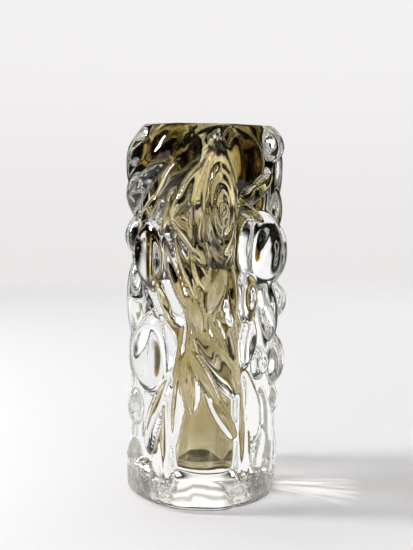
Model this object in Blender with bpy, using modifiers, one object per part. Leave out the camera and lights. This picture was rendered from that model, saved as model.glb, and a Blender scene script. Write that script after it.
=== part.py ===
"""Tall glass vase: one heavy piece of clear glass, blown into a mould whose wall is carved with folds.

It is built the way the glass is made. A plain blank is turned first, with its cavity, thick bottom
and flat rim. The mould then gives its skin eight flat sides and a relief of rounded folds that meet
in sharp creases. The cavity stays as smooth as the air left it. Metres, +Z up, origin at the middle
of the foot, photographed side towards -Y.
"""

import math

import bpy
import numpy as np

# Body
HEIGHT = 0.250
BODY_WIDTH = 0.107
SIDES = 8
SIDES_TURN = math.radians(-3)
CORNER_SHARPNESS = 28

# Foot: a plain eight-sided band below the folds, with a worn lower edge
FOOT_WIDTH = 0.1045
FOOT_HEIGHT = 0.021
FOOT_SWELL = 0.009
FOOT_EDGE = 0.006
FOOT_SHARPNESS = 14
FOOT_CALM = 0.25

# Rim: fire-polished shoulder that rolls in to a flat ground face
SHOULDER_HEIGHT = 0.022
SHOULDER_INSET = 0.0105
SHOULDER_ROUND = 1.7
MOUTH_EDGE = 0.0015
MOUTH_EDGE_BOW = 0.3

# Cavity: wide behind the mouth, a throat in to the waist, then a taper to a narrow well with a
# round bottom
MOUTH_WIDTH = 0.057
MOUTH_DEPTH = 0.048
THROAT_LENGTH = 0.030
WAIST_WIDTH = 0.045
TAPER_TOP = 0.152
TAPER_BOTTOM = 0.110
WELL_WIDTH = 0.030
FLOOR_THICKNESS = 0.022
FLOOR_ROUND = 0.007

# Folds of the mould
CROWN_RANGE = 0.0065
FOLD_DEPTH = 0.0078
FOLD_ROUNDNESS = 0.6
CREASE_ROUND = 0.0003
RING_FADE = 0.25
RIM_FADE = 0.009
RIM_CALM = 0.5
REAR_CALM = 0.35

# Each fold is a pillow: name, place around (degrees from the front, to the right), place up the
# height (percent), half width (degrees), half length (percent of the height), lean of its head to
# the right (degrees), bow (share of its half length), how proud its crown is (share of the depth)
# and how flat its face is (2 is round, 4 is a flat panel with round edges).
FRONT_FOLDS = [
    ("shoulder panel", -42, 94.5, 11, 13, 68, 0, 0.9, 4.5),
    ("left corner panel", -75, 90, 18, 10, 20, 0, 0.75, 3),
    ("long crescent", -48, 86.5, 8, 14.5, 52, -0.16, 1, 3),
    ("top leaf", -8, 95, 5.5, 8, 51, -0.05, 0.85, 4.5),
    ("under leaf", -19, 87.5, 6, 11.5, 47, -0.08, 0.7, 4.5),
    ("small cheek", -45, 78, 8, 6.5, 43, 0, 0.75, 4.5),
    ("sliver", -27, 77.5, 4, 7, 18, 0, 0.6, 4.5),
    ("inner leaf", -14, 82.5, 5, 8.5, 29, 0, 0.75, 4.5),
    ("long upright leaf", 1, 80, 4, 14.5, 5, -0.18, 0.95, 4.5),
    ("eye", 11, 79, 14, 16.5, -3, 0, 1.25, 4.5),
    ("right pocket", 30, 91.5, 19.5, 9.5, -29, 0.05, 0.8, 3),
    ("right corner", 71, 96, 20, 5.5, -15, 0, 0.85, 2.5),
    ("small right leaf", 33, 78, 4, 6, -62, 0.1, 0.7, 4.5),
    ("lens", 42, 84.5, 7, 6.5, 55, 0.1, 0.8, 4.5),
    ("right edge, upper", 79, 78, 22, 9, -7, 0, 0.65, 2),
    ("right bulge", 50, 68, 24, 10.5, -13, 0, 0.95, 3),
    ("right edge bulge, upper", 86, 66.7, 21, 8.5, 0, 0, 1.3, 2.5),
    ("right edge knob", 84, 53.5, 21, 5.2, 0, 0, 1.35, 2.3),
    ("left bulge", -44, 66.5, 20, 10, -6, 0, 0.95, 4.5),
    ("left edge knob", -83, 70.7, 21, 6, 7, 0, 0.95, 2),
    ("slanted oval, outer", -44, 55.5, 6, 6.5, -36, 0, 0.7, 4.5),
    ("slanted oval, inner", -28, 56, 6.5, 7.5, -30, 0, 0.85, 4.5),
    ("left edge, middle", -80, 54, 24, 13, -8, 0, 0.68, 3),
    ("left facet", -44, 40.5, 24, 11.5, 2, 0, 0.9, 4.5),
    ("left edge, lower", -84, 39.5, 24, 11, 0, 0, 0.5, 3),
    ("left low knob", -74, 24.5, 19, 6.5, -14, 0, 0.65, 2),
    ("left pleat, slanted", -35, 27, 4.5, 12, 25, 0, 0.75, 4.5),
    ("left pleat, edge", -76, 7, 20, 10, 4, 0, 0.75, 2.5),
    ("left pleat, middle", -35, 12.5, 6.5, 8.5, 9, 0, 0.75, 4.5),
    ("left pleat, inner", -26, 19.5, 5, 12.5, -2, 0, 0.7, 4.5),
    ("left gusset", -44, 22, 7, 9, 14, 0, 0.6, 4.5),
    ("centre tongue", -10, 35, 6.5, 8.5, -6, 0, 0.9, 4.5),
    ("centre narrow pleat", -18, 32.5, 3.5, 14.5, 4, 0, 0.7, 4.5),
    ("diagonal pleat", 0, 36.5, 4, 9, -28, 0, 0.85, 4.5),
    ("great fold", 9, 40, 8.5, 11, -36, 0.06, 1, 4.5),
    ("leaf under the great fold", 15, 25.5, 5, 7, -31, 0, 0.75, 4.5),
    ("front window", 1, 18.5, 31, 13, -1, 0, 0.8, 2),
    ("right upright pleat", 28, 22, 4, 14.5, -2, 0, 0.7, 4.5),
    ("right oval", 40, 26.5, 10, 10, -9, 0, 0.8, 4.5),
    ("right pleat, inner", 35, 16, 4.5, 10.5, -2, 0, 0.7, 4.5),
    ("right pleat, middle", 48, 13.5, 6, 8.5, 9, 0, 0.65, 4.5),
    ("right pleat, outer", 59, 18, 7.5, 13.5, -7, 0, 0.55, 4.5),
    ("right low edge knob", 80, 26.5, 18, 5, -18, 0, 0.8, 2.3),
    ("right low edge pleat", 83, 10.5, 21, 12, -5, 0, 0.75, 2.5),
    ("right edge bulge, lower", 84, 37.3, 22, 7.2, -6, 0, 1.35, 2.5),
    ("right upright oval", 37, 44.5, 7.5, 6.5, 10, 0, 0.75, 4.5),
    ("curl", 50, 38.5, 8, 4.5, -3, 0, 0.65, 4.5),
    ("right high oval", 35, 56.5, 9, 7, -2, 0, 0.85, 4.5),
    ("centre teardrop", 8, 58.5, 7.5, 6.5, 18, 0, 0.85, 4.5),
    ("channel", 20, 56.5, 4.5, 8.5, 0, 0, 0.6, 4.5),
    ("funnel", 19, 43.5, 6.5, 10, -15, 0, 0.6, 4.5),
    ("strip", 11, 44.5, 3.5, 8.5, -21, 0, 0.75, 4.5),
    ("curl, upper left", -6, 52, 6.5, 5.5, -18, 0, 0.75, 4.5),
    ("curl, lower left", -5, 45.5, 7.5, 4, -4, 0, 0.65, 4.5),
    ("drape, outer", -22, 63.5, 4.5, 10, -20, 0, 0.65, 4.5),
    ("drape, inner", -13, 64, 4.5, 9, -20, 0, 0.6, 4.5),
    ("drape leaf", -11, 71, 6.5, 8, -37, 0.14, 0.85, 4.5),
    ("drape foot", -3, 62.5, 5.5, 5.5, -26, 0, 0.65, 4.5),
    ("foot face, left", -51, 3, 21, 9, 0, 0, 0.75, 5),
    ("foot face, front", -1, 2, 25, 7.5, 0, 0, 0.9, 5),
    ("foot face, right", 46, 3, 20, 8.5, 0, 0, 0.75, 5),
    ("right clear slip", 57, 54, 9, 10.5, -18, 0, 0.7, 4.5),
]
REAR_FOLDS = [
    ("rear shoulder, left", -112, 89.5, 24, 10.5, 28, 0, 0.75, 3),
    ("rear long leaf", -138, 85, 13, 18, 42, -0.1, 0.95, 4.5),
    ("rear upright leaf", -162, 83, 13, 18, 14, -0.12, 0.85, 4.5),
    ("rear eye", 170, 80, 18, 16, -4, 0, 1, 4.5),
    ("rear pocket", 138, 89, 23, 13, -25, 0.05, 0.8, 3),
    ("rear shoulder, right", 112, 88, 20, 12, -12, 0, 0.7, 2.6),
    ("rear bulge, left", -120, 66, 24, 10, -8, 0, 0.9, 2.6),
    ("rear slanted leaf", -147, 63, 14, 16, -34, 0.05, 0.85, 4.5),
    ("rear teardrop", -169, 60, 14, 11, 16, 0, 0.8, 4.5),
    ("rear channel", 173, 57, 10, 14, 2, 0, 0.75, 4.5),
    ("rear oval", 151, 60, 15, 12, -6, 0, 0.9, 4.5),
    ("rear bulge, right", 122, 66, 24, 11, -12, 0, 0.95, 2.6),
    ("rear edge knob, right", 112, 54, 16, 5.5, 10, 0, 0.6, 4.5),
    ("rear edge knob, left", -104, 50, 18, 8, -10, 0, 0.75, 4.5),
    ("rear facet", -128, 42, 26, 12, 5, 0, 0.75, 4),
    ("rear great fold", -162, 42, 14, 15, -34, 0.06, 0.95, 4.5),
    ("rear tongue", 178, 37, 11, 13, -5, 0, 0.85, 4.5),
    ("rear upright oval", 152, 42, 15, 12, 10, 0, 0.8, 4.5),
    ("rear side bulge", 122, 43, 21, 11, -6, 0, 0.9, 2.6),
    ("rear knob, left", -104, 29, 19, 8, -15, 0, 0.6, 4.5),
    ("rear pleat, far left", -102, 14, 14, 12, 6, 0, 0.5, 4.5),
    ("rear pleat, left", -122, 19, 11, 15, 8, 0, 0.65, 4.5),
    ("rear window, left", -147, 19, 21, 13, 0, 0, 0.6, 4),
    ("rear pleat, middle left", -171, 18, 10, 16, -3, 0, 0.7, 4.5),
    ("rear pleat, middle right", 172, 19, 10, 16, 3, 0, 0.75, 4.5),
    ("rear window, right", 147, 19, 21, 13, 0, 0, 0.6, 4),
    ("rear pleat, right", 122, 22, 12, 17, -6, 0, 0.65, 4.5),
    ("rear foot face, left", -99, 3, 25, 10, 0, 0, 0.75, 5),
    ("rear foot face, middle left", -148, 3, 22, 8.5, 0, 0, 0.9, 5),
    ("rear foot face, middle right", 166, 3, 22, 8.5, 0, 0, 0.8, 5),
    ("rear foot face, right", 105, 3, 31, 10, 0, 0, 0.75, 5),
    ("rear pleat, far right", 103, 20, 13, 16, 5, 0, 0.5, 4.5),
]

# Rings pressed into the faces of some folds: name, degrees around, percent up, half width, half
# length, lean, how many grooves and their depth in metres.
RINGS = [
    ("eye", 11, 79, 12, 14.5, -3, 3, 0.0014),
    ("edge of the eye", 11, 79, 27, 32, -3, 1, 0.0030),
    ("slanted oval, inner", -28, 56, 6, 7, -30, 2, 0.0005),
    ("slanted oval, outer", -44, 55.5, 5.5, 6, -36, 2, 0.0005),
    ("right high oval", 35, 56.5, 8, 6.5, -2, 2, 0.0007),
    ("left low knob", -70, 24.5, 9, 4, -30, 2, 0.0006),
    ("curl", 50, 38.5, 9, 5, -3, 2, 0.0008),
    ("rear eye", 170, 80, 16, 15, -4, 3, 0.0011),
    ("rear oval", 151, 60, 13, 10, -6, 2, 0.0008),
    ("rear great fold", -162, 42, 12, 12, -34, 2, 0.0007),
]

# Hollows dished into some faces: name, degrees around, percent up, half width, half length, lean and
# depth in metres.
HOLLOWS = [
    ("right pocket", 29, 91, 15, 8.5, -29, 0.0050),
    ("end of the channel", 14, 51, 8, 4, 70, 0.0035),
    ("under the eye", 24, 74, 4, 6, 20, 0.0020),
    ("left low knob", -70, 24.5, 7, 3, -30, 0.0025),
    ("right high oval", 35, 56.5, 6, 5, -2, 0.0022),
    ("rear pocket", 138, 89, 17, 9, -25, 0.0050),
    ("rear teardrop", -169, 60, 10, 7, 16, 0.0030),
    ("rear shoulder, left", -112, 89, 15, 7, 28, 0.0035),
]

# Mesh: the mould is traced finely, then thinned where the glass is flat
STEPS_AROUND = 176
ROW_HEIGHT = 0.0021
ARC_POINTS = 7
TAPER_ROWS = 12
KEPT_SHARE = 0.2
FLAT_TOLERANCE = 0.0001
SHARP_ANGLE = math.radians(60)

# Glass
GLASS_COLOUR = (0.86, 0.87, 0.80, 1)
GLASS_ROUGHNESS = 0.02
GLASS_IOR = 1.5


def clear_scene():
    for obj in list(bpy.data.objects):
        bpy.data.objects.remove(obj, do_unlink=True)


def smooth_rise(value, start, end):
    """0 up to start, 1 from end on, and a soft S between them."""
    share = np.clip((value - start) / (end - start), 0, 1)
    return share * share * (3 - 2 * share)


def cavity_radius(height):
    """Radius of the hollow at a height, and 0 below its floor."""
    throat_top = HEIGHT - MOUTH_DEPTH
    throat = smooth_rise(height, throat_top - THROAT_LENGTH, throat_top)
    taper = smooth_rise(height, TAPER_BOTTOM, TAPER_TOP)
    radius = (WELL_WIDTH + (WAIST_WIDTH - WELL_WIDTH) * taper + (MOUTH_WIDTH - WAIST_WIDTH) * throat) / 2
    fall = np.clip((FLOOR_THICKNESS + FLOOR_ROUND - height) / FLOOR_ROUND, 0, 1)
    return radius * np.sqrt(1 - fall * fall) * (height >= FLOOR_THICKNESS)


def blank_radius(height):
    """Outer radius of the turned blank, measured to the middle of a flat side."""
    swell = smooth_rise(height, FOOT_HEIGHT, FOOT_HEIGHT + FOOT_SWELL)
    radius = (FOOT_WIDTH + (BODY_WIDTH - FOOT_WIDTH) * swell) / 2
    roll = np.clip((height - HEIGHT + SHOULDER_HEIGHT) / SHOULDER_HEIGHT, 0, 1)
    worn = np.clip(1 - height / FOOT_EDGE, 0, 1)
    shoulder = SHOULDER_INSET * (1 - np.sqrt(1 - roll**SHOULDER_ROUND))
    return radius - shoulder - FOOT_EDGE * (1 - np.sqrt(1 - worn**2))


def blank_profile():
    """Half section of the blank: up the cavity, over the rim, down the skin and across the foot."""
    quarter = np.linspace(0, math.pi / 2, ARC_POINTS)
    floor_arc = FLOOR_THICKNESS + FLOOR_ROUND * (1 - np.cos(quarter))
    throat_top = HEIGHT - MOUTH_DEPTH
    taper = np.linspace(TAPER_BOTTOM, TAPER_TOP, TAPER_ROWS)
    throat = np.linspace(throat_top - THROAT_LENGTH, throat_top, ARC_POINTS)
    inside = np.concatenate([floor_arc, taper, throat, [HEIGHT - 2 * MOUTH_EDGE]])
    points = [(cavity_radius(height), height) for height in inside]
    points[0] = (0, FLOOR_THICKNESS)
    points.append((MOUTH_WIDTH / 2 + MOUTH_EDGE * MOUTH_EDGE_BOW, HEIGHT - MOUTH_EDGE / 2))
    points.append((MOUTH_WIDTH / 2 + MOUTH_EDGE, HEIGHT))
    shoulder = HEIGHT - SHOULDER_HEIGHT * (1 - np.sin(quarter[::-1]))
    rows = round((HEIGHT - SHOULDER_HEIGHT - FOOT_EDGE) / ROW_HEIGHT)
    skin = np.linspace(HEIGHT - SHOULDER_HEIGHT, FOOT_EDGE, rows + 1)[1:]
    edge = FOOT_EDGE * (1 - np.sin(quarter[1:]))
    points += [(blank_radius(height), height) for height in np.concatenate([shoulder, skin, edge])]
    points.append((0, 0))
    return points


def turn_blank(collection):
    points = blank_profile()
    mesh = bpy.data.meshes.new("blank_profile")
    mesh.from_pydata([(r, 0, z) for r, z in points], [(i, i + 1) for i in range(len(points) - 1)], [])
    blank = bpy.data.objects.new("blank", mesh)
    collection.objects.link(blank)
    screw = blank.modifiers.new("turn", "SCREW")
    screw.steps = screw.render_steps = STEPS_AROUND
    screw.use_merge_vertices = True
    screw.merge_threshold = 0.0001
    return blank


def flat_sides(around, height):
    """Radius of the eight-sided section, as a share of its radius to the middle of a side."""
    swell = smooth_rise(height, FOOT_HEIGHT, FOOT_HEIGHT + FOOT_SWELL)
    sharpness = FOOT_SHARPNESS + (CORNER_SHARPNESS - FOOT_SHARPNESS) * swell
    total = 0
    for side in range(SIDES):
        facing = np.cos(around - SIDES_TURN - side * 2 * math.pi / SIDES)
        total = total + np.maximum(facing, 0) ** sharpness
    return total ** (-1 / sharpness)


def spread_from(place, rise, half_width, half_length, lean, bow, around, height):
    """Distance from the middle of a leaf shape, as a share of its half size in that direction."""
    turn = (around - math.radians(place) + math.pi) % (2 * math.pi) - math.pi
    sideways = turn * BODY_WIDTH / 2
    up = height - HEIGHT * rise / 100
    lean = math.radians(lean)
    reach = HEIGHT * half_length / 100
    breadth = math.radians(half_width) * BODY_WIDTH / 2
    along = up * math.cos(lean) + sideways * math.sin(lean)
    across = sideways * math.cos(lean) - up * math.sin(lean) - bow * reach * (1 - (along / reach) ** 2)
    return np.hypot(across / breadth, along / reach)


def depth_under(fold, around, height):
    """How far one fold's surface lies below the crown of the body, in metres."""
    _, place, rise, half_width, half_length, lean, bow, crown, flatness = fold
    spread = spread_from(place, rise, half_width, half_length, lean, bow, around, height)
    drop = min(FOLD_DEPTH, FOLD_ROUNDNESS * math.radians(half_width) * BODY_WIDTH / 2)
    return (1 - crown) * CROWN_RANGE + drop * spread**flatness


def ring_depth(ring, around, height):
    """Depth of the ring grooves that the mould gives to the face of a fold, in metres."""
    _, place, rise, half_width, half_length, lean, grooves, depth = ring
    spread = spread_from(place, rise, half_width, half_length, lean, 0, around, height)
    wave = (1 - np.cos(2 * math.pi * grooves * spread)) / 2
    return depth * wave * smooth_rise(1 - spread, 0, RING_FADE)


def hollow_depth(hollow, around, height):
    """Depth of a dish pressed into the face of a fold, in metres."""
    _, place, rise, half_width, half_length, lean, depth = hollow
    spread = spread_from(place, rise, half_width, half_length, lean, 0, around, height)
    return depth * (1 - np.minimum(spread, 1) ** 2) ** 2


def relief_depth(around, height):
    """Depth of the skin below the crown of the body: the proudest fold wins, and creases stay sharp."""
    total = math.exp(-FOLD_DEPTH / CREASE_ROUND)
    for fold in FRONT_FOLDS + REAR_FOLDS:
        total = total + np.exp(-depth_under(fold, around, height) / CREASE_ROUND)
    depth = -CREASE_ROUND * np.log(total)
    for ring in RINGS:
        depth = depth + ring_depth(ring, around, height)
    for hollow in HOLLOWS:
        depth = depth + hollow_depth(hollow, around, height)
    foot_share = FOOT_CALM + (1 - FOOT_CALM) * smooth_rise(height, FOOT_HEIGHT, FOOT_HEIGHT + FOOT_SWELL)
    rim_share = 1 - (1 - RIM_CALM) * np.clip(1 - (HEIGHT - height) / RIM_FADE, 0, 1)
    rear_share = 1 - (1 - REAR_CALM) * smooth_rise(-np.cos(around), 0, 0.6)
    return depth * foot_share * rim_share * rear_share


def press_into_mould(mesh):
    """Moves each point out or in, fully at the skin and not at all at the cavity wall."""
    points = np.empty(len(mesh.vertices) * 3, np.float32)
    mesh.vertices.foreach_get("co", points)
    x, y, z = points.reshape(-1, 3).astype(float).T
    radius = np.hypot(x, y)
    around = np.arctan2(x, -y)
    inner = np.minimum(cavity_radius(z), radius)
    outer = blank_radius(z)
    skin = outer * flat_sides(around, z) - relief_depth(around, z)
    share = (radius - inner) / (outer - inner)
    moved = inner + share * (skin - inner)
    scale = np.divide(moved, radius, out=np.ones_like(radius), where=radius > 0)
    mesh.vertices.foreach_set("co", np.column_stack([x * scale, y * scale, z]).astype(np.float32).ravel())


def evaluated_mesh(obj):
    graph = bpy.context.evaluated_depsgraph_get()
    return bpy.data.meshes.new_from_object(obj.evaluated_get(graph), depsgraph=graph)


def grind_flat(mesh):
    """Puts the foot and the rim back in their planes after thinning."""
    for vertex in mesh.vertices:
        for plane in (0, HEIGHT):
            if abs(vertex.co.z - plane) < FLAT_TOLERANCE:
                vertex.co.z = plane


def glass_material():
    glass = bpy.data.materials.new("clear_glass")
    glass.use_nodes = True
    surface = glass.node_tree.nodes["Principled BSDF"]
    surface.inputs["Base Color"].default_value = GLASS_COLOUR
    surface.inputs["Roughness"].default_value = GLASS_ROUGHNESS
    surface.inputs["Metallic"].default_value = 0
    surface.inputs["IOR"].default_value = GLASS_IOR
    surface.inputs["Transmission Weight"].default_value = 1
    return glass


def make_vase():
    collection = bpy.data.collections.new("glass_vase")
    bpy.context.scene.collection.children.link(collection)
    blank = turn_blank(collection)
    pressed = evaluated_mesh(blank)
    bpy.data.objects.remove(blank, do_unlink=True)
    press_into_mould(pressed)
    vase = bpy.data.objects.new("vase", pressed)
    collection.objects.link(vase)
    thin = vase.modifiers.new("thin", "DECIMATE")
    thin.ratio = KEPT_SHARE
    thinned = evaluated_mesh(vase)
    thinned.name = "vase"
    vase.modifiers.remove(thin)
    vase.data = thinned
    grind_flat(thinned)
    thinned.shade_smooth()
    thinned.set_sharp_from_angle(angle=SHARP_ANGLE)
    thinned.materials.clear()
    thinned.materials.append(glass_material())


clear_scene()
make_vase()
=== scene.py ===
"""Looks of the tall glass vase: clear folded glass over an olive inner layer, on a pale table."""

import math

import bmesh
import bpy
import numpy as np
from mathutils import Matrix, Vector


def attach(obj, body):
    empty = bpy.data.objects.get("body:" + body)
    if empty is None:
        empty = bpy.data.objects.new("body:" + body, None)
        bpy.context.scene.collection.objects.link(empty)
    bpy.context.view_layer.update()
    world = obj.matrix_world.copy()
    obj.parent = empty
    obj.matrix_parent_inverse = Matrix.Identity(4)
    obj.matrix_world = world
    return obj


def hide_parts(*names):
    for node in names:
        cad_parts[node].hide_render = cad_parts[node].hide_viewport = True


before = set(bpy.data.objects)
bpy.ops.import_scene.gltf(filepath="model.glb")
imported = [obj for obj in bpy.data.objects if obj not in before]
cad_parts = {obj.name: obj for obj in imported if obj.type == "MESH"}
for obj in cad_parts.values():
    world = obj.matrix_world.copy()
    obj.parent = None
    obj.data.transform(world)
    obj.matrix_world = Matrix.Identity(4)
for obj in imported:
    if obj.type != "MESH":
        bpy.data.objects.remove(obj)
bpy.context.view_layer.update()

# View: the camera stands level with the vase's shoulder and looks slightly down, as in the
# photograph, with the small roll that the photograph has.
CAMERA_PLACE = (0.0011, -0.5533, 0.2284)
CAMERA_PITCH = math.radians(8.13)
CAMERA_ROLL = math.radians(0.955)
CAMERA_LENS = 53.4
CAMERA_NEAR = 0.01
# light crosses many faces of the folded glass before it leaves
GLASS_BOUNCES = 24
SHINE_BOUNCES = 12

camera = bpy.data.objects.new("view_camera", bpy.data.cameras.new("view_camera"))
bpy.context.scene.collection.objects.link(camera)
camera.data.lens = CAMERA_LENS
camera.data.clip_start = CAMERA_NEAR
camera.matrix_world = (
    Matrix.Translation(CAMERA_PLACE)
    @ Matrix.Rotation(math.pi / 2 - CAMERA_PITCH, 4, "X")
    @ Matrix.Rotation(CAMERA_ROLL, 4, "Z")
)
bpy.context.scene.camera = camera
bpy.context.scene.view_settings.view_transform = "Standard"
bounces = bpy.context.scene.cycles
bounces.max_bounces = GLASS_BOUNCES
bounces.transmission_bounces = GLASS_BOUNCES
bounces.transparent_max_bounces = GLASS_BOUNCES
bounces.glossy_bounces = SHINE_BOUNCES
bounces.volume_bounces = 0

# Clear body: one gather of clear glass, blown into a mould whose wall is carved with folds, then
# fire polished, with its foot and rim ground flat. The same rules shape the solid. They are traced
# finer here, and the left bulge, right bulge and left facet are a little flatter.
HEIGHT = 0.250
BODY_WIDTH = 0.107
SIDES = 8
SIDES_TURN = math.radians(-3)
CORNER_SHARPNESS = 28
FOOT_WIDTH = 0.1045
FOOT_HEIGHT = 0.021
FOOT_SWELL = 0.009
FOOT_EDGE = 0.006
FOOT_SHARPNESS = 14
FOOT_CALM = 0.25
SHOULDER_HEIGHT = 0.022
SHOULDER_INSET = 0.0105
SHOULDER_ROUND = 1.7
MOUTH_EDGE = 0.0015
MOUTH_WIDTH = 0.057
MOUTH_DEPTH = 0.048
THROAT_LENGTH = 0.030
WAIST_WIDTH = 0.045
TAPER_TOP = 0.152
TAPER_BOTTOM = 0.110
WELL_WIDTH = 0.030
FLOOR_THICKNESS = 0.022
FLOOR_ROUND = 0.007
CROWN_RANGE = 0.0065
FOLD_DEPTH = 0.0078
FOLD_ROUNDNESS = 0.6
CREASE_ROUND = 0.0003
RING_FADE = 0.25
RIM_FADE = 0.009
RIM_CALM = 0.5
REAR_CALM = 0.35
REAR_REACHED = 0.6
WELD_REACH = 0.00005

# Each fold: name, degrees around from the front, percent of the height up, half width in degrees,
# half length in percent of the height, lean, bow, how proud its crown is and how flat its face is.
FRONT_FOLDS = [
    ("shoulder panel", -42, 94.5, 11, 13, 68, 0, 0.9, 4.5),
    ("left corner panel", -75, 90, 18, 10, 20, 0, 0.75, 3),
    ("long crescent", -48, 86.5, 8, 14.5, 52, -0.16, 1, 3),
    ("top leaf", -8, 95, 5.5, 8, 51, -0.05, 0.85, 4.5),
    ("under leaf", -19, 87.5, 6, 11.5, 47, -0.08, 0.7, 4.5),
    ("small cheek", -45, 78, 8, 6.5, 43, 0, 0.75, 4.5),
    ("sliver", -27, 77.5, 4, 7, 18, 0, 0.6, 4.5),
    ("inner leaf", -14, 82.5, 5, 8.5, 29, 0, 0.75, 4.5),
    ("long upright leaf", 1, 80, 4, 14.5, 5, -0.18, 0.95, 4.5),
    ("eye", 11, 79, 14, 16.5, -3, 0, 1.25, 4.5),
    ("right pocket", 30, 91.5, 19.5, 9.5, -29, 0.05, 0.8, 3),
    ("right corner", 71, 96, 20, 5.5, -15, 0, 0.85, 2.5),
    ("small right leaf", 33, 78, 4, 6, -62, 0.1, 0.7, 4.5),
    ("lens", 42, 84.5, 7, 6.5, 55, 0.1, 0.8, 4.5),
    ("right edge, upper", 79, 78, 22, 9, -7, 0, 0.65, 2),
    ("right bulge", 50, 68, 24, 10.5, -13, 0, 0.95, 5),
    ("right edge bulge, upper", 86, 66.7, 21, 8.5, 0, 0, 1.3, 2.5),
    ("right edge knob", 84, 53.5, 21, 5.2, 0, 0, 1.35, 2.3),
    ("left bulge", -44, 66.5, 20, 10, -6, 0, 0.95, 8),
    ("left edge knob", -83, 70.7, 21, 6, 7, 0, 0.95, 2),
    ("slanted oval, outer", -44, 55.5, 6, 6.5, -36, 0, 0.7, 4.5),
    ("slanted oval, inner", -28, 56, 6.5, 7.5, -30, 0, 0.85, 4.5),
    ("left edge, middle", -80, 54, 24, 13, -8, 0, 0.68, 3),
    ("left facet", -44, 40.5, 24, 11.5, 2, 0, 0.9, 8),
    ("left edge, lower", -84, 39.5, 24, 11, 0, 0, 0.5, 3),
    ("left low knob", -74, 24.5, 19, 6.5, -14, 0, 0.65, 2),
    ("left pleat, slanted", -35, 27, 4.5, 12, 25, 0, 0.75, 4.5),
    ("left pleat, edge", -76, 7, 20, 10, 4, 0, 0.75, 2.5),
    ("left pleat, middle", -35, 12.5, 6.5, 8.5, 9, 0, 0.75, 4.5),
    ("left pleat, inner", -26, 19.5, 5, 12.5, -2, 0, 0.7, 4.5),
    ("left gusset", -44, 22, 7, 9, 14, 0, 0.6, 4.5),
    ("centre tongue", -10, 35, 6.5, 8.5, -6, 0, 0.9, 4.5),
    ("centre narrow pleat", -18, 32.5, 3.5, 14.5, 4, 0, 0.7, 4.5),
    ("diagonal pleat", 0, 36.5, 4, 9, -28, 0, 0.85, 4.5),
    ("great fold", 9, 40, 8.5, 11, -36, 0.06, 1, 4.5),
    ("leaf under the great fold", 15, 25.5, 5, 7, -31, 0, 0.75, 4.5),
    ("front window", 1, 18.5, 31, 13, -1, 0, 0.8, 2),
    ("right upright pleat", 28, 22, 4, 14.5, -2, 0, 0.7, 4.5),
    ("right oval", 40, 26.5, 10, 10, -9, 0, 0.8, 4.5),
    ("right pleat, inner", 35, 16, 4.5, 10.5, -2, 0, 0.7, 4.5),
    ("right pleat, middle", 48, 13.5, 6, 8.5, 9, 0, 0.65, 4.5),
    ("right pleat, outer", 59, 18, 7.5, 13.5, -7, 0, 0.55, 4.5),
    ("right low edge knob", 80, 26.5, 18, 5, -18, 0, 0.8, 2.3),
    ("right low edge pleat", 83, 10.5, 21, 12, -5, 0, 0.75, 2.5),
    ("right edge bulge, lower", 84, 37.3, 22, 7.2, -6, 0, 1.35, 2.5),
    ("right upright oval", 37, 44.5, 7.5, 6.5, 10, 0, 0.75, 4.5),
    ("curl", 50, 38.5, 8, 4.5, -3, 0, 0.65, 4.5),
    ("right high oval", 35, 56.5, 9, 7, -2, 0, 0.85, 4.5),
    ("centre teardrop", 8, 58.5, 7.5, 6.5, 18, 0, 0.85, 4.5),
    ("channel", 20, 56.5, 4.5, 8.5, 0, 0, 0.6, 4.5),
    ("funnel", 19, 43.5, 6.5, 10, -15, 0, 0.6, 4.5),
    ("strip", 11, 44.5, 3.5, 8.5, -21, 0, 0.75, 4.5),
    ("curl, upper left", -6, 52, 6.5, 5.5, -18, 0, 0.75, 4.5),
    ("curl, lower left", -5, 45.5, 7.5, 4, -4, 0, 0.65, 4.5),
    ("drape, outer", -22, 63.5, 4.5, 10, -20, 0, 0.65, 4.5),
    ("drape, inner", -13, 64, 4.5, 9, -20, 0, 0.6, 4.5),
    ("drape leaf", -11, 71, 6.5, 8, -37, 0.14, 0.85, 4.5),
    ("drape foot", -3, 62.5, 5.5, 5.5, -26, 0, 0.65, 4.5),
    ("foot face, left", -51, 3, 21, 9, 0, 0, 0.75, 5),
    ("foot face, front", -1, 2, 25, 7.5, 0, 0, 0.9, 5),
    ("foot face, right", 46, 3, 20, 8.5, 0, 0, 0.75, 5),
    ("right clear slip", 57, 54, 9, 10.5, -18, 0, 0.7, 4.5),
]
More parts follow.
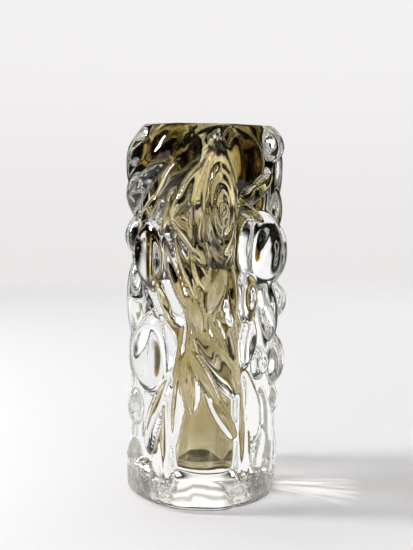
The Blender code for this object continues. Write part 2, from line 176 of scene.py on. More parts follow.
# the back isn't in the photograph: it carries folds of the same kind, made calmer by REAR_CALM
REAR_FOLDS = [
    ("rear shoulder, left", -112, 89.5, 24, 10.5, 28, 0, 0.75, 3),
    ("rear long leaf", -138, 85, 13, 18, 42, -0.1, 0.95, 4.5),
    ("rear upright leaf", -162, 83, 13, 18, 14, -0.12, 0.85, 4.5),
    ("rear eye", 170, 80, 18, 16, -4, 0, 1, 4.5),
    ("rear pocket", 138, 89, 23, 13, -25, 0.05, 0.8, 3),
    ("rear shoulder, right", 112, 88, 20, 12, -12, 0, 0.7, 2.6),
    ("rear bulge, left", -120, 66, 24, 10, -8, 0, 0.9, 2.6),
    ("rear slanted leaf", -147, 63, 14, 16, -34, 0.05, 0.85, 4.5),
    ("rear teardrop", -169, 60, 14, 11, 16, 0, 0.8, 4.5),
    ("rear channel", 173, 57, 10, 14, 2, 0, 0.75, 4.5),
    ("rear oval", 151, 60, 15, 12, -6, 0, 0.9, 4.5),
    ("rear bulge, right", 122, 66, 24, 11, -12, 0, 0.95, 2.6),
    ("rear edge knob, right", 112, 54, 16, 5.5, 10, 0, 0.6, 4.5),
    ("rear edge knob, left", -104, 50, 18, 8, -10, 0, 0.75, 4.5),
    ("rear facet", -128, 42, 26, 12, 5, 0, 0.75, 4),
    ("rear great fold", -162, 42, 14, 15, -34, 0.06, 0.95, 4.5),
    ("rear tongue", 178, 37, 11, 13, -5, 0, 0.85, 4.5),
    ("rear upright oval", 152, 42, 15, 12, 10, 0, 0.8, 4.5),
    ("rear side bulge", 122, 43, 21, 11, -6, 0, 0.9, 2.6),
    ("rear knob, left", -104, 29, 19, 8, -15, 0, 0.6, 4.5),
    ("rear pleat, far left", -102, 14, 14, 12, 6, 0, 0.5, 4.5),
    ("rear pleat, left", -122, 19, 11, 15, 8, 0, 0.65, 4.5),
    ("rear window, left", -147, 19, 21, 13, 0, 0, 0.6, 4),
    ("rear pleat, middle left", -171, 18, 10, 16, -3, 0, 0.7, 4.5),
    ("rear pleat, middle right", 172, 19, 10, 16, 3, 0, 0.75, 4.5),
    ("rear window, right", 147, 19, 21, 13, 0, 0, 0.6, 4),
    ("rear pleat, right", 122, 22, 12, 17, -6, 0, 0.65, 4.5),
    ("rear foot face, left", -99, 3, 25, 10, 0, 0, 0.75, 5),
    ("rear foot face, middle left", -148, 3, 22, 8.5, 0, 0, 0.9, 5),
    ("rear foot face, middle right", 166, 3, 22, 8.5, 0, 0, 0.8, 5),
    ("rear foot face, right", 105, 3, 31, 10, 0, 0, 0.75, 5),
    ("rear pleat, far right", 103, 20, 13, 16, 5, 0, 0.5, 4.5),
]

# Rings pressed into some faces: degrees around, percent up, half width, half length, lean, grooves
# and their depth.
RINGS = [
    ("eye", 11, 79, 12, 14.5, -3, 3, 0.0014),
    ("edge of the eye", 11, 79, 27, 32, -3, 1, 0.0030),
    ("slanted oval, inner", -28, 56, 6, 7, -30, 2, 0.0005),
    ("slanted oval, outer", -44, 55.5, 5.5, 6, -36, 2, 0.0005),
    ("right high oval", 35, 56.5, 8, 6.5, -2, 2, 0.0007),
    ("left low knob", -70, 24.5, 9, 4, -30, 2, 0.0006),
    ("curl", 50, 38.5, 9, 5, -3, 2, 0.0008),
    ("rear eye", 170, 80, 16, 15, -4, 3, 0.0011),
    ("rear oval", 151, 60, 13, 10, -6, 2, 0.0008),
    ("rear great fold", -162, 42, 12, 12, -34, 2, 0.0007),
]

# Hollows dished into some faces: degrees around, percent up, half width, half length, lean and depth.
HOLLOWS = [
    ("right pocket", 29, 91, 15, 8.5, -29, 0.0050),
    ("end of the channel", 14, 51, 8, 4, 70, 0.0035),
    ("under the eye", 24, 74, 4, 6, 20, 0.0020),
    ("left low knob", -70, 24.5, 7, 3, -30, 0.0025),
    ("right high oval", 35, 56.5, 6, 5, -2, 0.0022),
    ("rear pocket", 138, 89, 17, 9, -25, 0.0050),
    ("rear teardrop", -169, 60, 10, 7, 16, 0.0030),
    ("rear shoulder, left", -112, 89, 15, 7, 28, 0.0035),
]


def smooth_rise(value, start, end):
    """0 up to start, 1 from end on, and a soft S between them."""
    share = np.clip((value - start) / (end - start), 0, 1)
    return share * share * (3 - 2 * share)


def cavity_radius(height):
    """Radius of the hollow at a height, and 0 below its floor."""
    throat_top = HEIGHT - MOUTH_DEPTH
    throat = smooth_rise(height, throat_top - THROAT_LENGTH, throat_top)
    taper = smooth_rise(height, TAPER_BOTTOM, TAPER_TOP)
    radius = (WELL_WIDTH + (WAIST_WIDTH - WELL_WIDTH) * taper + (MOUTH_WIDTH - WAIST_WIDTH) * throat) / 2
    fall = np.clip((FLOOR_THICKNESS + FLOOR_ROUND - height) / FLOOR_ROUND, 0, 1)
    return radius * np.sqrt(1 - fall * fall) * (height >= FLOOR_THICKNESS)


def blank_radius(height):
    """Outer radius of the turned blank, measured to the middle of a flat side."""
    swell = smooth_rise(height, FOOT_HEIGHT, FOOT_HEIGHT + FOOT_SWELL)
    radius = (FOOT_WIDTH + (BODY_WIDTH - FOOT_WIDTH) * swell) / 2
    roll = np.clip((height - HEIGHT + SHOULDER_HEIGHT) / SHOULDER_HEIGHT, 0, 1)
    worn = np.clip(1 - height / FOOT_EDGE, 0, 1)
    shoulder = SHOULDER_INSET * (1 - np.sqrt(1 - roll**SHOULDER_ROUND))
    return radius - shoulder - FOOT_EDGE * (1 - np.sqrt(1 - worn**2))


def flat_sides(around, height):
    """Radius of the eight-sided section, as a share of its radius to the middle of a side."""
    swell = smooth_rise(height, FOOT_HEIGHT, FOOT_HEIGHT + FOOT_SWELL)
    sharpness = FOOT_SHARPNESS + (CORNER_SHARPNESS - FOOT_SHARPNESS) * swell
    total = 0
    for side in range(SIDES):
        facing = np.cos(around - SIDES_TURN - side * 2 * math.pi / SIDES)
        total = total + np.maximum(facing, 0) ** sharpness
    return total ** (-1 / sharpness)


def spread_from(place, rise, half_width, half_length, lean, bow, around, height):
    """Distance from the middle of a leaf shape, as a share of its half size in that direction."""
    turn = (around - math.radians(place) + math.pi) % (2 * math.pi) - math.pi
    sideways = turn * BODY_WIDTH / 2
    up = height - HEIGHT * rise / 100
    lean = math.radians(lean)
    reach = HEIGHT * half_length / 100
    breadth = math.radians(half_width) * BODY_WIDTH / 2
    along = up * math.cos(lean) + sideways * math.sin(lean)
    across = sideways * math.cos(lean) - up * math.sin(lean) - bow * reach * (1 - (along / reach) ** 2)
    return np.hypot(across / breadth, along / reach)


def depth_under(fold, around, height):
    """How far one fold's surface lies below the crown of the body, in metres."""
    _, place, rise, half_width, half_length, lean, bow, crown, flatness = fold
    spread = spread_from(place, rise, half_width, half_length, lean, bow, around, height)
    drop = min(FOLD_DEPTH, FOLD_ROUNDNESS * math.radians(half_width) * BODY_WIDTH / 2)
    return (1 - crown) * CROWN_RANGE + drop * spread**flatness


def ring_depth(ring, around, height):
    """Depth of the ring grooves that the mould gives to the face of a fold, in metres."""
    _, place, rise, half_width, half_length, lean, grooves, depth = ring
    spread = spread_from(place, rise, half_width, half_length, lean, 0, around, height)
    wave = (1 - np.cos(2 * math.pi * grooves * spread)) / 2
    return depth * wave * smooth_rise(1 - spread, 0, RING_FADE)


def hollow_depth(hollow, around, height):
    """Depth of a dish pressed into the face of a fold, in metres."""
    _, place, rise, half_width, half_length, lean, depth = hollow
    spread = spread_from(place, rise, half_width, half_length, lean, 0, around, height)
    return depth * (1 - np.minimum(spread, 1) ** 2) ** 2


def relief_depth(around, height):
    """Depth of the skin below the crown of the body: the proudest fold wins, and creases stay sharp."""
    total = math.exp(-FOLD_DEPTH / CREASE_ROUND)
    for fold in FRONT_FOLDS + REAR_FOLDS:
        total = total + np.exp(-depth_under(fold, around, height) / CREASE_ROUND)
    depth = -CREASE_ROUND * np.log(total)
    for ring in RINGS:
        depth = depth + ring_depth(ring, around, height)
    for hollow in HOLLOWS:
        depth = depth + hollow_depth(hollow, around, height)
    foot_share = FOOT_CALM + (1 - FOOT_CALM) * smooth_rise(height, FOOT_HEIGHT, FOOT_HEIGHT + FOOT_SWELL)
    rim_share = 1 - (1 - RIM_CALM) * np.clip(1 - (HEIGHT - height) / RIM_FADE, 0, 1)
    rear_share = 1 - (1 - REAR_CALM) * smooth_rise(-np.cos(around), 0, REAR_REACHED)
    return depth * foot_share * rim_share * rear_share


def turn_profile(name, points, steps):
    """A closed turned mesh from a half section of (radius, height) points."""
    mesh = bpy.data.meshes.new(name + "_profile")
    mesh.from_pydata([(r, 0, z) for r, z in points], [(i, i + 1) for i in range(len(points) - 1)], [])
    turned = bpy.data.objects.new(name + "_turned", mesh)
    bpy.context.scene.collection.objects.link(turned)
    screw = turned.modifiers.new("turn", "SCREW")
    screw.steps = screw.render_steps = steps
    screw.use_merge_vertices = True
    screw.merge_threshold = WELD_REACH
    graph = bpy.context.evaluated_depsgraph_get()
    result = bpy.data.meshes.new_from_object(turned.evaluated_get(graph), depsgraph=graph)
    bpy.data.objects.remove(turned, do_unlink=True)
    result.shade_smooth()
    piece = bpy.data.objects.new(name, result)
    bpy.context.scene.collection.objects.link(piece)
    return piece


def points_of(piece):
    """Where a turned piece's points are: x, y, height, distance from the axis and way round."""
    points = np.empty(len(piece.data.vertices) * 3, np.float32)
    piece.data.vertices.foreach_get("co", points)
    x, y, height = points.reshape(-1, 3).astype(float).T
    return x, y, height, np.hypot(x, y), np.arctan2(x, -y)


def move_points(piece, x, y, height, radius, moved):
    """Give each point of a turned piece its new distance from the axis."""
    scale = np.divide(moved, radius, out=np.ones_like(radius), where=radius > 0)
    places = np.column_stack([x * scale, y * scale, height]).astype(np.float32)
    piece.data.vertices.foreach_set("co", places.ravel())
    piece.data.update()


# how finely the body is traced: steps around, rows down its side, and rows along each curve
SKIN_STEPS = 256
SKIN_ROWS = 300
ROUND_ROWS = 10
TAPER_ROWS = 20
THROAT_ROWS = 26
# the mouth's edge is eased in two steps, and the first goes these shares of the way out and down
MOUTH_EASE_OUT = 0.3
MOUTH_EASE_DOWN = 0.5
WALL_TOP = HEIGHT - 2 * MOUTH_EDGE
THROAT_TOP = HEIGHT - MOUTH_DEPTH
quarter = np.linspace(0, math.pi / 2, ROUND_ROWS)
well_floor = FLOOR_THICKNESS + FLOOR_ROUND * (1 - np.cos(quarter))
taper = np.linspace(TAPER_BOTTOM, TAPER_TOP, TAPER_ROWS)
throat = np.linspace(THROAT_TOP - THROAT_LENGTH, THROAT_TOP, THROAT_ROWS)
inside = np.concatenate([well_floor, taper, throat, [WALL_TOP]])
shoulder = HEIGHT - SHOULDER_HEIGHT * (1 - np.sin(quarter[::-1]))
side = np.linspace(HEIGHT - SHOULDER_HEIGHT, FOOT_EDGE, SKIN_ROWS)
foot_round = FOOT_EDGE * (1 - np.sin(quarter))
outside = np.concatenate([shoulder, side[1:], foot_round[1:]])

body_section = [(0, FLOOR_THICKNESS)]
body_section += [(cavity_radius(height), height) for height in inside[1:]]
body_section.append((MOUTH_WIDTH / 2 + MOUTH_EDGE * MOUTH_EASE_OUT, HEIGHT - MOUTH_EDGE * MOUTH_EASE_DOWN))
body_section.append((MOUTH_WIDTH / 2 + MOUTH_EDGE, HEIGHT))
body_section += [(blank_radius(height), height) for height in outside]
body_section.append((0, 0))
clear_body = turn_profile("clear_body", body_section, SKIN_STEPS)

# the cavity keeps its radius, the skin takes the relief, and what lies between moves in proportion
x, y, height, radius, around = points_of(clear_body)
inner = np.minimum(cavity_radius(height), radius)
outer = blank_radius(height)
skin = outer * flat_sides(around, height) - relief_depth(around, height)
moved = inner + (radius - inner) / (outer - inner) * (skin - inner)
move_points(clear_body, x, y, height, radius, moved)


def feed(tree, socket, part):
    """Set a node's socket, to a plain number or colour or from another node's output."""
    if isinstance(part, bpy.types.NodeSocket):
        tree.links.new(part, socket)
    else:
        socket.default_value = part


def worked_out(tree, operation, *parts):
    """The result of one sum in a material."""
    node = tree.nodes.new("ShaderNodeMath")
    node.operation = operation
    for socket, part in zip(node.inputs, parts):
        feed(tree, socket, part)
    return node.outputs[0]


def stepped(tree, value, start, end, low=0, high=1, shape="SMOOTHSTEP"):
    """A mask in a material, which goes from low at start to high at end."""
    node = tree.nodes.new("ShaderNodeMapRange")
    node.interpolation_type = shape
    feed(tree, node.inputs["Value"], value)
    feed(tree, node.inputs["From Min"], start)
    feed(tree, node.inputs["From Max"], end)
    feed(tree, node.inputs["To Min"], low)
    feed(tree, node.inputs["To Max"], high)
    return node.outputs["Result"]


def either(tree, share, first, second):
    """Two shaders mixed: the first where share is 0, and the second where it is 1."""
    node = tree.nodes.new("ShaderNodeMixShader")
    for socket, part in zip(node.inputs, (share, first, second)):
        tree.links.new(part, socket)
    return node.outputs[0]


GLASS_IOR = 1.52
CLEAR_TINGE = (0.80, 0.86, 0.78, 1)
CLEAR_TINGE_DENSITY = 1.2
# how much of a lamp's light the glass lets on to the table
LAMP_LIGHT_LET_THROUGH = (0.52, 0.52, 0.54, 1)
# the ripple that the mould leaves in the skin: strong round the foot, faint above it
RIPPLE_SCALE = 110
RIPPLE_DETAIL = 3
RIPPLE_HEIGHT = 0.001
FOOT_RIPPLE = 3.0
BODY_RIPPLE = 0.05
RIPPLE_TURNS = FOOT_HEIGHT - 0.004
# it is faint at the middle of the front and back, up to MIDDLE_PLAIN, and whole from MIDDLE_END on
MIDDLE_PLAIN = 0.014
MIDDLE_END = 0.030
MIDDLE_RIPPLE = 0.05
# the ground underside is flat, and the ripple starts just above it
UNDERSIDE = 0.0004
UNDERSIDE_END = 0.0015
clear_glass = bpy.data.materials.new("clear_glass")
clear_glass.use_nodes = True
tree = clear_glass.node_tree
surface = tree.nodes["Principled BSDF"]
surface.inputs["Base Color"].default_value = (1, 1, 1, 1)
surface.inputs["Roughness"].default_value = 0
surface.inputs["IOR"].default_value = GLASS_IOR
surface.inputs["Transmission Weight"].default_value = 1
absorb = tree.nodes.new("ShaderNodeVolumeAbsorption")
absorb.inputs["Color"].default_value = CLEAR_TINGE
absorb.inputs["Density"].default_value = CLEAR_TINGE_DENSITY
tree.links.new(absorb.outputs["Volume"], tree.nodes["Material Output"].inputs["Volume"])

place = tree.nodes.new("ShaderNodeTexCoord")
spot = tree.nodes.new("ShaderNodeSeparateXYZ")
tree.links.new(place.outputs["Object"], spot.inputs[0])
ripple = tree.nodes.new("ShaderNodeTexNoise")
ripple.inputs["Scale"].default_value = RIPPLE_SCALE
ripple.inputs["Detail"].default_value = RIPPLE_DETAIL
tree.links.new(place.outputs["Object"], ripple.inputs["Vector"])
by_height = stepped(
    tree, spot.outputs["Z"], RIPPLE_TURNS, FOOT_HEIGHT + FOOT_SWELL, FOOT_RIPPLE, BODY_RIPPLE
)
aside = worked_out(tree, "ABSOLUTE", spot.outputs["X"])
off_middle = stepped(tree, aside, MIDDLE_PLAIN, MIDDLE_END, MIDDLE_RIPPLE, 1)
off_underside = stepped(tree, spot.outputs["Z"], UNDERSIDE, UNDERSIDE_END, shape="LINEAR")
side_share = worked_out(tree, "MULTIPLY", off_underside, off_middle)
skin_bump = tree.nodes.new("ShaderNodeBump")
skin_bump.inputs["Distance"].default_value = RIPPLE_HEIGHT
tree.links.new(worked_out(tree, "MULTIPLY", by_height, side_share), skin_bump.inputs["Strength"])
tree.links.new(ripple.outputs["Fac"], skin_bump.inputs["Height"])
tree.links.new(skin_bump.outputs["Normal"], surface.inputs["Normal"])

lamp_light = tree.nodes.new("ShaderNodeBsdfTransparent")
lamp_light.inputs["Color"].default_value = LAMP_LIGHT_LET_THROUGH
path = tree.nodes.new("ShaderNodeLightPath")
let_through = either(
    tree, path.outputs["Is Shadow Ray"], surface.outputs["BSDF"], lamp_light.outputs["BSDF"]
)
tree.links.new(let_through, tree.nodes["Material Output"].inputs["Surface"])
clear_body.data.materials.clear()
clear_body.data.materials.append(clear_glass)
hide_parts("vase")
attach(clear_body, "root")

# Tinted layer: the first gather, of olive glass, which the clear glass was cased over. It lines the
# whole cavity as a thin skin just behind its wall, fused to the clear glass around it, and it is
# thickest behind the proudest folds.
TINT_GAP = 0.0002
TINT_THICKNESS = 0.0015
TINT_TOP_GAIN = 0.14
TINT_SWELL = 1.5
TINT_LEAST = 0.12
TINT_STEPS = 160
TINT_ROWS = 110
TINT_COLOUR = (0.61, 0.525, 0.20, 1)
TINT_DENSITY = 455
# where the floor turns up into the wall, the outer face lies this share of the thickness lower
TINT_CORNER_DROP = 0.8
# folds that stand half proud leave the layer at its plain thickness
HALF_PROUD = 0.5
# points this near the axis are the floor's middle, and stay where they are
FLOOR_MIDDLE = 0.004
# thicker and thinner places of the gather, chosen from where the olive looks dark or pale in
# the photograph, and given as the hollows are
TINT_POOLS = [
    ("behind the right shoulder", 44, 90.5, 32, 9.6, 0, 0.0080),
    ("behind the left shoulder", -36, 91.5, 26, 6, 0, 0.0050),
    ("right of the eye", 37, 78.5, 5, 12, -8, 0.0060),
    ("under the eye", 18, 65, 17, 2.5, 0, 0.0060),
    ("beside the right bulge", 43, 72, 8, 6, 0, 0.0030),
    ("teardrop", 10, 71, 11, 5.2, 18, 0.0020),
    ("right oval", 60, 69.5, 15, 5.6, -5, 0.0040),
    ("end of the channel", 23, 64, 12, 2.5, 0, 0.0060),
    ("funnel", 32, 56.5, 13, 7.6, -10, 0.0040),
    ("thin place at the crescent", -52, 86, 10, 9.6, 50, -0.0012),
    ("thin place at the top leaf", -14, 89.5, 7, 8, 48, -0.0010),
    ("thin place at the left bulge", -62, 67.5, 34, 9, 0, -0.0040),
    ("thin place at the right bulge", 78, 68, 26, 9.5, 0, -0.0040),
]
tint_side = np.linspace(FLOOR_THICKNESS + FLOOR_ROUND, WALL_TOP, TINT_ROWS)
tint_heights = np.concatenate([well_floor, tint_side[1:]])
inner_face = [(cavity_radius(height) + TINT_GAP, height) for height in tint_heights[1:]]
inner_face.insert(0, (0, FLOOR_THICKNESS - TINT_GAP))
outer_face = [(r + TINT_THICKNESS * (1 + TINT_TOP_GAIN * h / HEIGHT), h) for r, h in inner_face[1:]]
corner_radius, corner_height = outer_face[0]
outer_face[0] = (corner_radius, corner_height - TINT_THICKNESS * TINT_CORNER_DROP)
outer_face.insert(0, (0, FLOOR_THICKNESS - TINT_GAP - TINT_THICKNESS))
tint_layer = turn_profile("tint_layer", inner_face + outer_face[::-1], TINT_STEPS)

x, y, height, radius, around = points_of(tint_layer)
depth_in = np.maximum(radius - cavity_radius(height) - TINT_GAP, 0) * (radius > FLOOR_MIDDLE)
fullness = 1 - np.clip(relief_depth(around, height) / FOLD_DEPTH, 0, 1)
pooled = sum(hollow_depth(pool, around, height) for pool in TINT_POOLS)
grown = np.maximum(1 + TINT_SWELL * (fullness - HALF_PROUD) + pooled / TINT_THICKNESS, TINT_LEAST)
move_points(tint_layer, x, y, height, radius, radius + depth_in * (grown - 1))

olive_tint = bpy.data.materials.new("olive_tint")
olive_tint.use_nodes = True
tree = olive_tint.node_tree
tree.nodes.remove(tree.nodes["Principled BSDF"])
through = tree.nodes.new("ShaderNodeBsdfTransparent")
tree.links.new(through.outputs["BSDF"], tree.nodes["Material Output"].inputs["Surface"])
absorb = tree.nodes.new("ShaderNodeVolumeAbsorption")
absorb.inputs["Color"].default_value = TINT_COLOUR
absorb.inputs["Density"].default_value = TINT_DENSITY
tree.links.new(absorb.outputs["Volume"], tree.nodes["Material Output"].inputs["Volume"])
tint_layer.data.materials.clear()
tint_layer.data.materials.append(olive_tint)
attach(tint_layer, "root")

# Seeds: small air bubbles that the glass maker left in the clear glass of the left bulge. Each is a
# round hollow a few millimetres behind the skin, so its wall faces inwards.
SEED_OUT = 0.0455
SEED_DIVISIONS = 3
SEED_RIPPLE_SCALE = 900
SEED_RIPPLE = 0.1
SEED_RIPPLE_HEIGHT = 0.0001
# degrees around from the front, percent up, radius
SEEDS = [
    (-60, 70.6, 0.0011),
    (-56, 69.0, 0.0008),
    (-53, 70.4, 0.0014),
    (-50, 67.6, 0.0009),
    (-58, 66.6, 0.0007),
    (-47, 69.4, 0.0008),
    (-62, 68.0, 0.0006),
    (-51, 72.0, 0.0006),
    (-45, 66.9, 0.0009),
    (-57, 72.6, 0.0006),
    (-43, 70.8, 0.0005),
]
bubbles = bmesh.new()
for around, up, size in SEEDS:
    angle = math.radians(around)
    middle = (SEED_OUT * math.sin(angle), -SEED_OUT * math.cos(angle), HEIGHT * up / 100)
    bmesh.ops.create_icosphere(
        bubbles, subdivisions=SEED_DIVISIONS, radius=size, matrix=Matrix.Translation(middle)
    )
bmesh.ops.reverse_faces(bubbles, faces=bubbles.faces[:])
for face in bubbles.faces:
    face.smooth = True
seed_mesh = bpy.data.meshes.new("seeds")
bubbles.to_mesh(seed_mesh)
bubbles.free()
seeds = bpy.data.objects.new("seeds", seed_mesh)
bpy.context.scene.collection.objects.link(seeds)

seed_wall = bpy.data.materials.new("seed_wall")
seed_wall.use_nodes = True
tree = seed_wall.node_tree
surface = tree.nodes["Principled BSDF"]
surface.inputs["Roughness"].default_value = 0
surface.inputs["IOR"].default_value = GLASS_IOR
surface.inputs["Transmission Weight"].default_value = 1
uneven = tree.nodes.new("ShaderNodeTexNoise")
uneven.inputs["Scale"].default_value = SEED_RIPPLE_SCALE
seed_bump = tree.nodes.new("ShaderNodeBump")
seed_bump.inputs["Strength"].default_value = SEED_RIPPLE
seed_bump.inputs["Distance"].default_value = SEED_RIPPLE_HEIGHT
tree.links.new(uneven.outputs["Fac"], seed_bump.inputs["Height"])
tree.links.new(seed_bump.outputs["Normal"], surface.inputs["Normal"])
seeds.data.materials.append(seed_wall)
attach(seeds, "root")

# Table: a matt top painted off-white, on which the vase stands loose. It belongs to the stage, and it
# fades out round its rim, so that it runs into the wall behind it without a line.
TABLE_RADIUS = 1.05
TABLE_CORNERS = 128
TABLE_DROP = 0.0001
TABLE_FADE = 0.72
TABLE_RIM = TABLE_RADIUS - 0.01
TABLE_COLOUR = (0.88, 0.87, 0.88, 1)
TABLE_ROUGHNESS = 0.7
TABLE_SHINE = 0.1
# seen through the glass, the top ends here, and beyond it is the floor of the room
STAND_RADIUS = 0.42
STAND_END = STAND_RADIUS + 0.05
bpy.ops.mesh.primitive_circle_add(
    vertices=TABLE_CORNERS, radius=TABLE_RADIUS, fill_type="NGON", location=(0, 0, -TABLE_DROP)
)
table = bpy.context.object
table.name = "table"
table_paint = bpy.data.materials.new("table_paint")
table_paint.use_nodes = True
tree = table_paint.node_tree
surface = tree.nodes["Principled BSDF"]
surface.inputs["Base Color"].default_value = TABLE_COLOUR
surface.inputs["Roughness"].default_value = TABLE_ROUGHNESS
surface.inputs["Specular IOR Level"].default_value = TABLE_SHINE
place = tree.nodes.new("ShaderNodeTexCoord")
path = tree.nodes.new("ShaderNodeLightPath")
spot = tree.nodes.new("ShaderNodeSeparateXYZ")
tree.links.new(place.outputs["Object"], spot.inputs[0])
distance = tree.nodes.new("ShaderNodeVectorMath")
distance.operation = "LENGTH"
tree.links.new(place.outputs["Object"], distance.inputs[0])
fade = stepped(tree, distance.outputs["Value"], TABLE_FADE, TABLE_RIM, 1, 0)
beyond = stepped(tree, distance.outputs["Value"], STAND_RADIUS, STAND_END, shape="LINEAR")
open_floor = worked_out(tree, "MULTIPLY", path.outputs["Is Transmission Ray"], beyond)
solid_share = worked_out(tree, "SUBTRACT", fade, open_floor)
solid_share.node.use_clamp = True
tree.links.new(solid_share, surface.inputs["Alpha"])

# painted light: bright streaks painted on the table to the right of the foot as a glow, where the glass's
# caustics would fall:
# noise drawn out along rays from the foot, between two angles (radians from +X) and two lengths, each with
# a soft start and end
STREAK_ORIGIN = (0.020, 0.008, 0.0)
STREAK_ANGLES = (-0.56, -0.34, -0.02, 0.12)
STREAK_REACH = (0.026, 0.042, 0.078, 0.096)
STREAK_SCALE = 14
STREAK_DETAIL = 3
STREAK_DARKEST = 0.42
STREAK_BRIGHTEST = 0.66
PAINTED_STREAK_LIGHT = 0.6
from_origin = tree.nodes.new("ShaderNodeVectorMath")
from_origin.operation = "SUBTRACT"
from_origin.inputs[1].default_value = STREAK_ORIGIN
tree.links.new(place.outputs["Object"], from_origin.inputs[0])
along = tree.nodes.new("ShaderNodeSeparateXYZ")
tree.links.new(from_origin.outputs["Vector"], along.inputs[0])
ray_angle = worked_out(tree, "ARCTAN2", along.outputs["Y"], along.outputs["X"])
ray_length = tree.nodes.new("ShaderNodeVectorMath")
ray_length.operation = "LENGTH"
tree.links.new(from_origin.outputs["Vector"], ray_length.inputs[0])
ray_place = tree.nodes.new("ShaderNodeCombineXYZ")
tree.links.new(ray_angle, ray_place.inputs["X"])
tree.links.new(ray_length.outputs["Value"], ray_place.inputs["Y"])
streaks = tree.nodes.new("ShaderNodeTexNoise")
streaks.inputs["Scale"].default_value = STREAK_SCALE
streaks.inputs["Detail"].default_value = STREAK_DETAIL
tree.links.new(ray_place.outputs["Vector"], streaks.inputs["Vector"])
painted_streak_share = stepped(tree, streaks.outputs["Fac"], STREAK_DARKEST, STREAK_BRIGHTEST)
for measure, stops in ((ray_angle, STREAK_ANGLES), (ray_length.outputs["Value"], STREAK_REACH)):
    starts = stepped(tree, measure, stops[0], stops[1])
    ends = stepped(tree, measure, stops[3], stops[2])
    painted_streak_share = worked_out(tree, "MULTIPLY", painted_streak_share, worked_out(tree, "MULTIPLY", starts, ends))
painted_streak_light = worked_out(tree, "MULTIPLY", painted_streak_share, PAINTED_STREAK_LIGHT)

# the far and the right side of the table lie further from the lamp, so the camera is shown them
# paler, outside the strip that the vase's shadow falls on
PALER_ALL_OVER = 0.017
PALER_TO_RIGHT = 0.42
PALER_FAR_OFF = 0.227
SHADOW_HALF = 0.03
SHADOW_END = 0.12
away = worked_out(tree, "ABSOLUTE", spot.outputs["Y"])
by_side = worked_out(tree, "MULTIPLY_ADD", spot.outputs["X"], PALER_TO_RIGHT, PALER_ALL_OVER)
by_distance = worked_out(tree, "MULTIPLY_ADD", away, PALER_FAR_OFF, by_side)
off_shadow = stepped(tree, away, SHADOW_HALF, SHADOW_END)
paler = worked_out(tree, "MULTIPLY", by_distance, off_shadow)
paler.node.use_clamp = True
# painted light: the streaks glow for every ray, and the paler share is added only for the camera
paler_and_painted_streaks = worked_out(tree, "MULTIPLY_ADD", path.outputs["Is Camera Ray"], paler, painted_streak_light)

# glass gathers light on the table round it, so the table is a little brighter seen through the vase
TABLE_GLOW = 0.12
glow = worked_out(tree, "MULTIPLY_ADD", path.outputs["Is Transmission Ray"], TABLE_GLOW, paler_and_painted_streaks)
surface.inputs["Emission Color"].default_value = (1, 1, 1, 1)
tree.links.new(glow, surface.inputs["Emission Strength"])
table.data.materials.append(table_paint)

# Lamps: a tall soft box beyond the left end of the table, which throws the shadow to the right, and a
# wide fill overhead, which isn't seen in the glass. Both face the middle of the vase.
LAMP_AIM = Vector((0, 0, 0.12))


def soft_box(name, place, size, power, seen):
    """A rectangular lamp at a place, turned to the middle of the vase."""
    lamp = bpy.data.lights.new(name, "AREA")
    lamp.shape = "RECTANGLE"
    lamp.size, lamp.size_y = size
    lamp.energy = power
    box = bpy.data.objects.new(name, lamp)
    bpy.context.scene.collection.objects.link(box)
    box.location = place
    box.rotation_euler = (LAMP_AIM - box.location).to_track_quat("-Z", "Y").to_euler()
    box.visible_glossy = seen
    box.visible_transmission = seen


soft_box("left_box", place=(-1.1, -0.03, 0.66), size=(0.20, 0.5), power=15.5, seen=True)
soft_box("top_fill", place=(-0.3, 0.3, 1.6), size=(1.2, 1.2), power=6, seen=False)

# Room: a pale wall round the table, hung with pale panels and dark flags by turns. Above it come a
# dark gap, a striped pale band, a bright strip and a dark ceiling. Rays through the glass see all of
# this, the camera sees a plain wall, and matt faces get an even light.
WALL_SHADE_LOW = (0.825, 0.81, 0.805, 1)
WALL_SHADE_HIGH = (0.90, 0.885, 0.885, 1)
WALL_SHADE_FROM = -0.14
WALL_SHADE_TO = 0.18
EVEN_LIGHT = (0.34, 0.34, 0.34, 1)
MIRRORED_LIGHT = (0.03, 0.03, 0.03, 1)
# brightness by height, where height is the upward part of the direction looked in
WALL_LEVELS = [(-0.30, 0.0), (-0.21, 1.0), (0.02, 1.0), (0.06, 0.0)]
BAND_LEVELS = [
    (0.18, 0.0),
    (0.26, 0.85),
    (0.34, 0.85),
    (0.38, 0.4),
    (0.42, 0.85),
    (0.47, 0.3),
    (0.52, 0.8),
    (0.60, 0.0),
]
STRIP_LEVELS = [(0.60, 0.0), (0.63, 1.0), (0.72, 1.0), (0.75, 0.0)]
STRIP_LIGHT = 3
world = bpy.data.worlds.new("room")
bpy.context.scene.world = world
world.use_nodes = True
tree = world.node_tree
place = tree.nodes.new("ShaderNodeTexCoord")
toward = tree.nodes.new("ShaderNodeSeparateXYZ")
tree.links.new(place.outputs["Generated"], toward.inputs[0])
# a ramp runs from 0 to 1, so it is read halfway up for level
ramp_height = worked_out(tree, "MULTIPLY_ADD", toward.outputs["Z"], 0.5, 0.5)


def light_by_height(stops):
    """Brightness at each height, with soft steps from stop to stop."""
    levels = tree.nodes.new("ShaderNodeValToRGB")
    levels.color_ramp.interpolation = "EASE"
    while len(levels.color_ramp.elements) < len(stops):
        levels.color_ramp.elements.new(0.5)
    for stop, (height, light) in zip(levels.color_ramp.elements, stops):
        stop.position = (height + 1) / 2
        stop.color = (light, light, light, 1)
    tree.links.new(ramp_height, levels.inputs["Fac"])
    return levels.outputs["Color"]


def colour_by_height(start, end, low, high):
    """A colour that goes from low to high between two heights."""
    node = tree.nodes.new("ShaderNodeMix")
    node.data_type = "RGBA"
    node.inputs["A"].default_value = low
    node.inputs["B"].default_value = high
    tree.links.new(stepped(tree, toward.outputs["Z"], start, end), node.inputs["Factor"])
    return node.outputs["Result"]


# Flags and panels take turns round the table. Their wave has PANELS crests, and a second, slower one
# makes those at the front and back differ from those at the sides.
PANELS = 4
SIDE_NARROWING = 0.5
FLAG_CORE = -0.25
FLAG_EDGE = 0.35
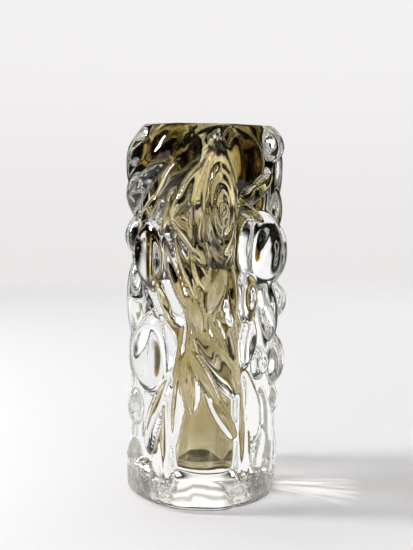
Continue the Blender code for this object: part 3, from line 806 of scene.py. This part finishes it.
# near the floor the flags close up
CLOSED_BELOW = -0.26
OPEN_ABOVE = -0.16
CLOSE_UP = 0.85
# the flags' own middles carry a narrow pale strip, and the panels' middles are brighter
FLAG_STRIP_CORE = -1.04
FLAG_STRIP_EDGE = -0.96
FLAG_STRIP_LIGHT = 0.6
MIDDLE_EDGE = 1.0
MIDDLE_CORE = 1.4
MIDDLE_LIGHT = 0.85
# the band is shaded by the flags too, apart from this share of it
BAND_SPARED = 0.35
way_round = worked_out(tree, "ARCTAN2", toward.outputs["X"], toward.outputs["Y"])
crests = worked_out(tree, "COSINE", worked_out(tree, "MULTIPLY", way_round, PANELS))
slow_crests = worked_out(tree, "COSINE", worked_out(tree, "MULTIPLY", way_round, PANELS / 2))
wave = worked_out(tree, "MULTIPLY_ADD", slow_crests, SIDE_NARROWING, crests)
closer = stepped(tree, toward.outputs["Z"], CLOSED_BELOW, OPEN_ABOVE, CLOSE_UP, 0)
flag_core = worked_out(tree, "ADD", closer, FLAG_CORE)
flag_edge = worked_out(tree, "ADD", closer, FLAG_EDGE)
dark_share = stepped(tree, wave, flag_core, flag_edge, 1, 0)
flag_strip = stepped(tree, wave, FLAG_STRIP_CORE, FLAG_STRIP_EDGE, 1, 0)
panel_middle = stepped(tree, wave, MIDDLE_EDGE, MIDDLE_CORE)
panels = worked_out(tree, "SUBTRACT", 1.0, dark_share)
panels = worked_out(tree, "MULTIPLY_ADD", panel_middle, MIDDLE_LIGHT, panels)
panels = worked_out(tree, "MULTIPLY_ADD", flag_strip, FLAG_STRIP_LIGHT, panels)
band_panels = worked_out(tree, "MULTIPLY_ADD", panels, 1 - BAND_SPARED, BAND_SPARED)
lit_band = worked_out(tree, "MULTIPLY", light_by_height(BAND_LEVELS), band_panels)
walls = worked_out(tree, "MULTIPLY_ADD", light_by_height(WALL_LEVELS), panels, lit_band)
lit = worked_out(tree, "MULTIPLY_ADD", light_by_height(STRIP_LEVELS), STRIP_LIGHT, walls)

# the room's light is neutral below and a little warm from here up
WARM_FROM = 0.08
WARM_TO = 0.20
LOW_LIGHT = (1.0, 0.99, 0.99, 1)
HIGH_LIGHT = (0.99, 0.965, 0.90, 1)
seen_through = tree.nodes.new("ShaderNodeBackground")
room_colour = colour_by_height(WARM_FROM, WARM_TO, LOW_LIGHT, HIGH_LIGHT)
tree.links.new(room_colour, seen_through.inputs["Color"])
tree.links.new(lit, seen_through.inputs["Strength"])
plain_wall = tree.nodes["Background"]
wall_shade = colour_by_height(WALL_SHADE_FROM, WALL_SHADE_TO, WALL_SHADE_LOW, WALL_SHADE_HIGH)
tree.links.new(wall_shade, plain_wall.inputs["Color"])
even = tree.nodes.new("ShaderNodeBackground")
even.inputs["Color"].default_value = EVEN_LIGHT
mirrored = tree.nodes.new("ShaderNodeBackground")
mirrored.inputs["Color"].default_value = MIRRORED_LIGHT
path = tree.nodes.new("ShaderNodeLightPath")
room = even.outputs[0]
for kind, shown in (
    ("Is Glossy Ray", mirrored),
    ("Is Transmission Ray", seen_through),
    ("Is Camera Ray", plain_wall),
):
    room = either(tree, path.outputs[kind], room, shown.outputs[0])
tree.links.new(room, tree.nodes["World Output"].inputs["Surface"])
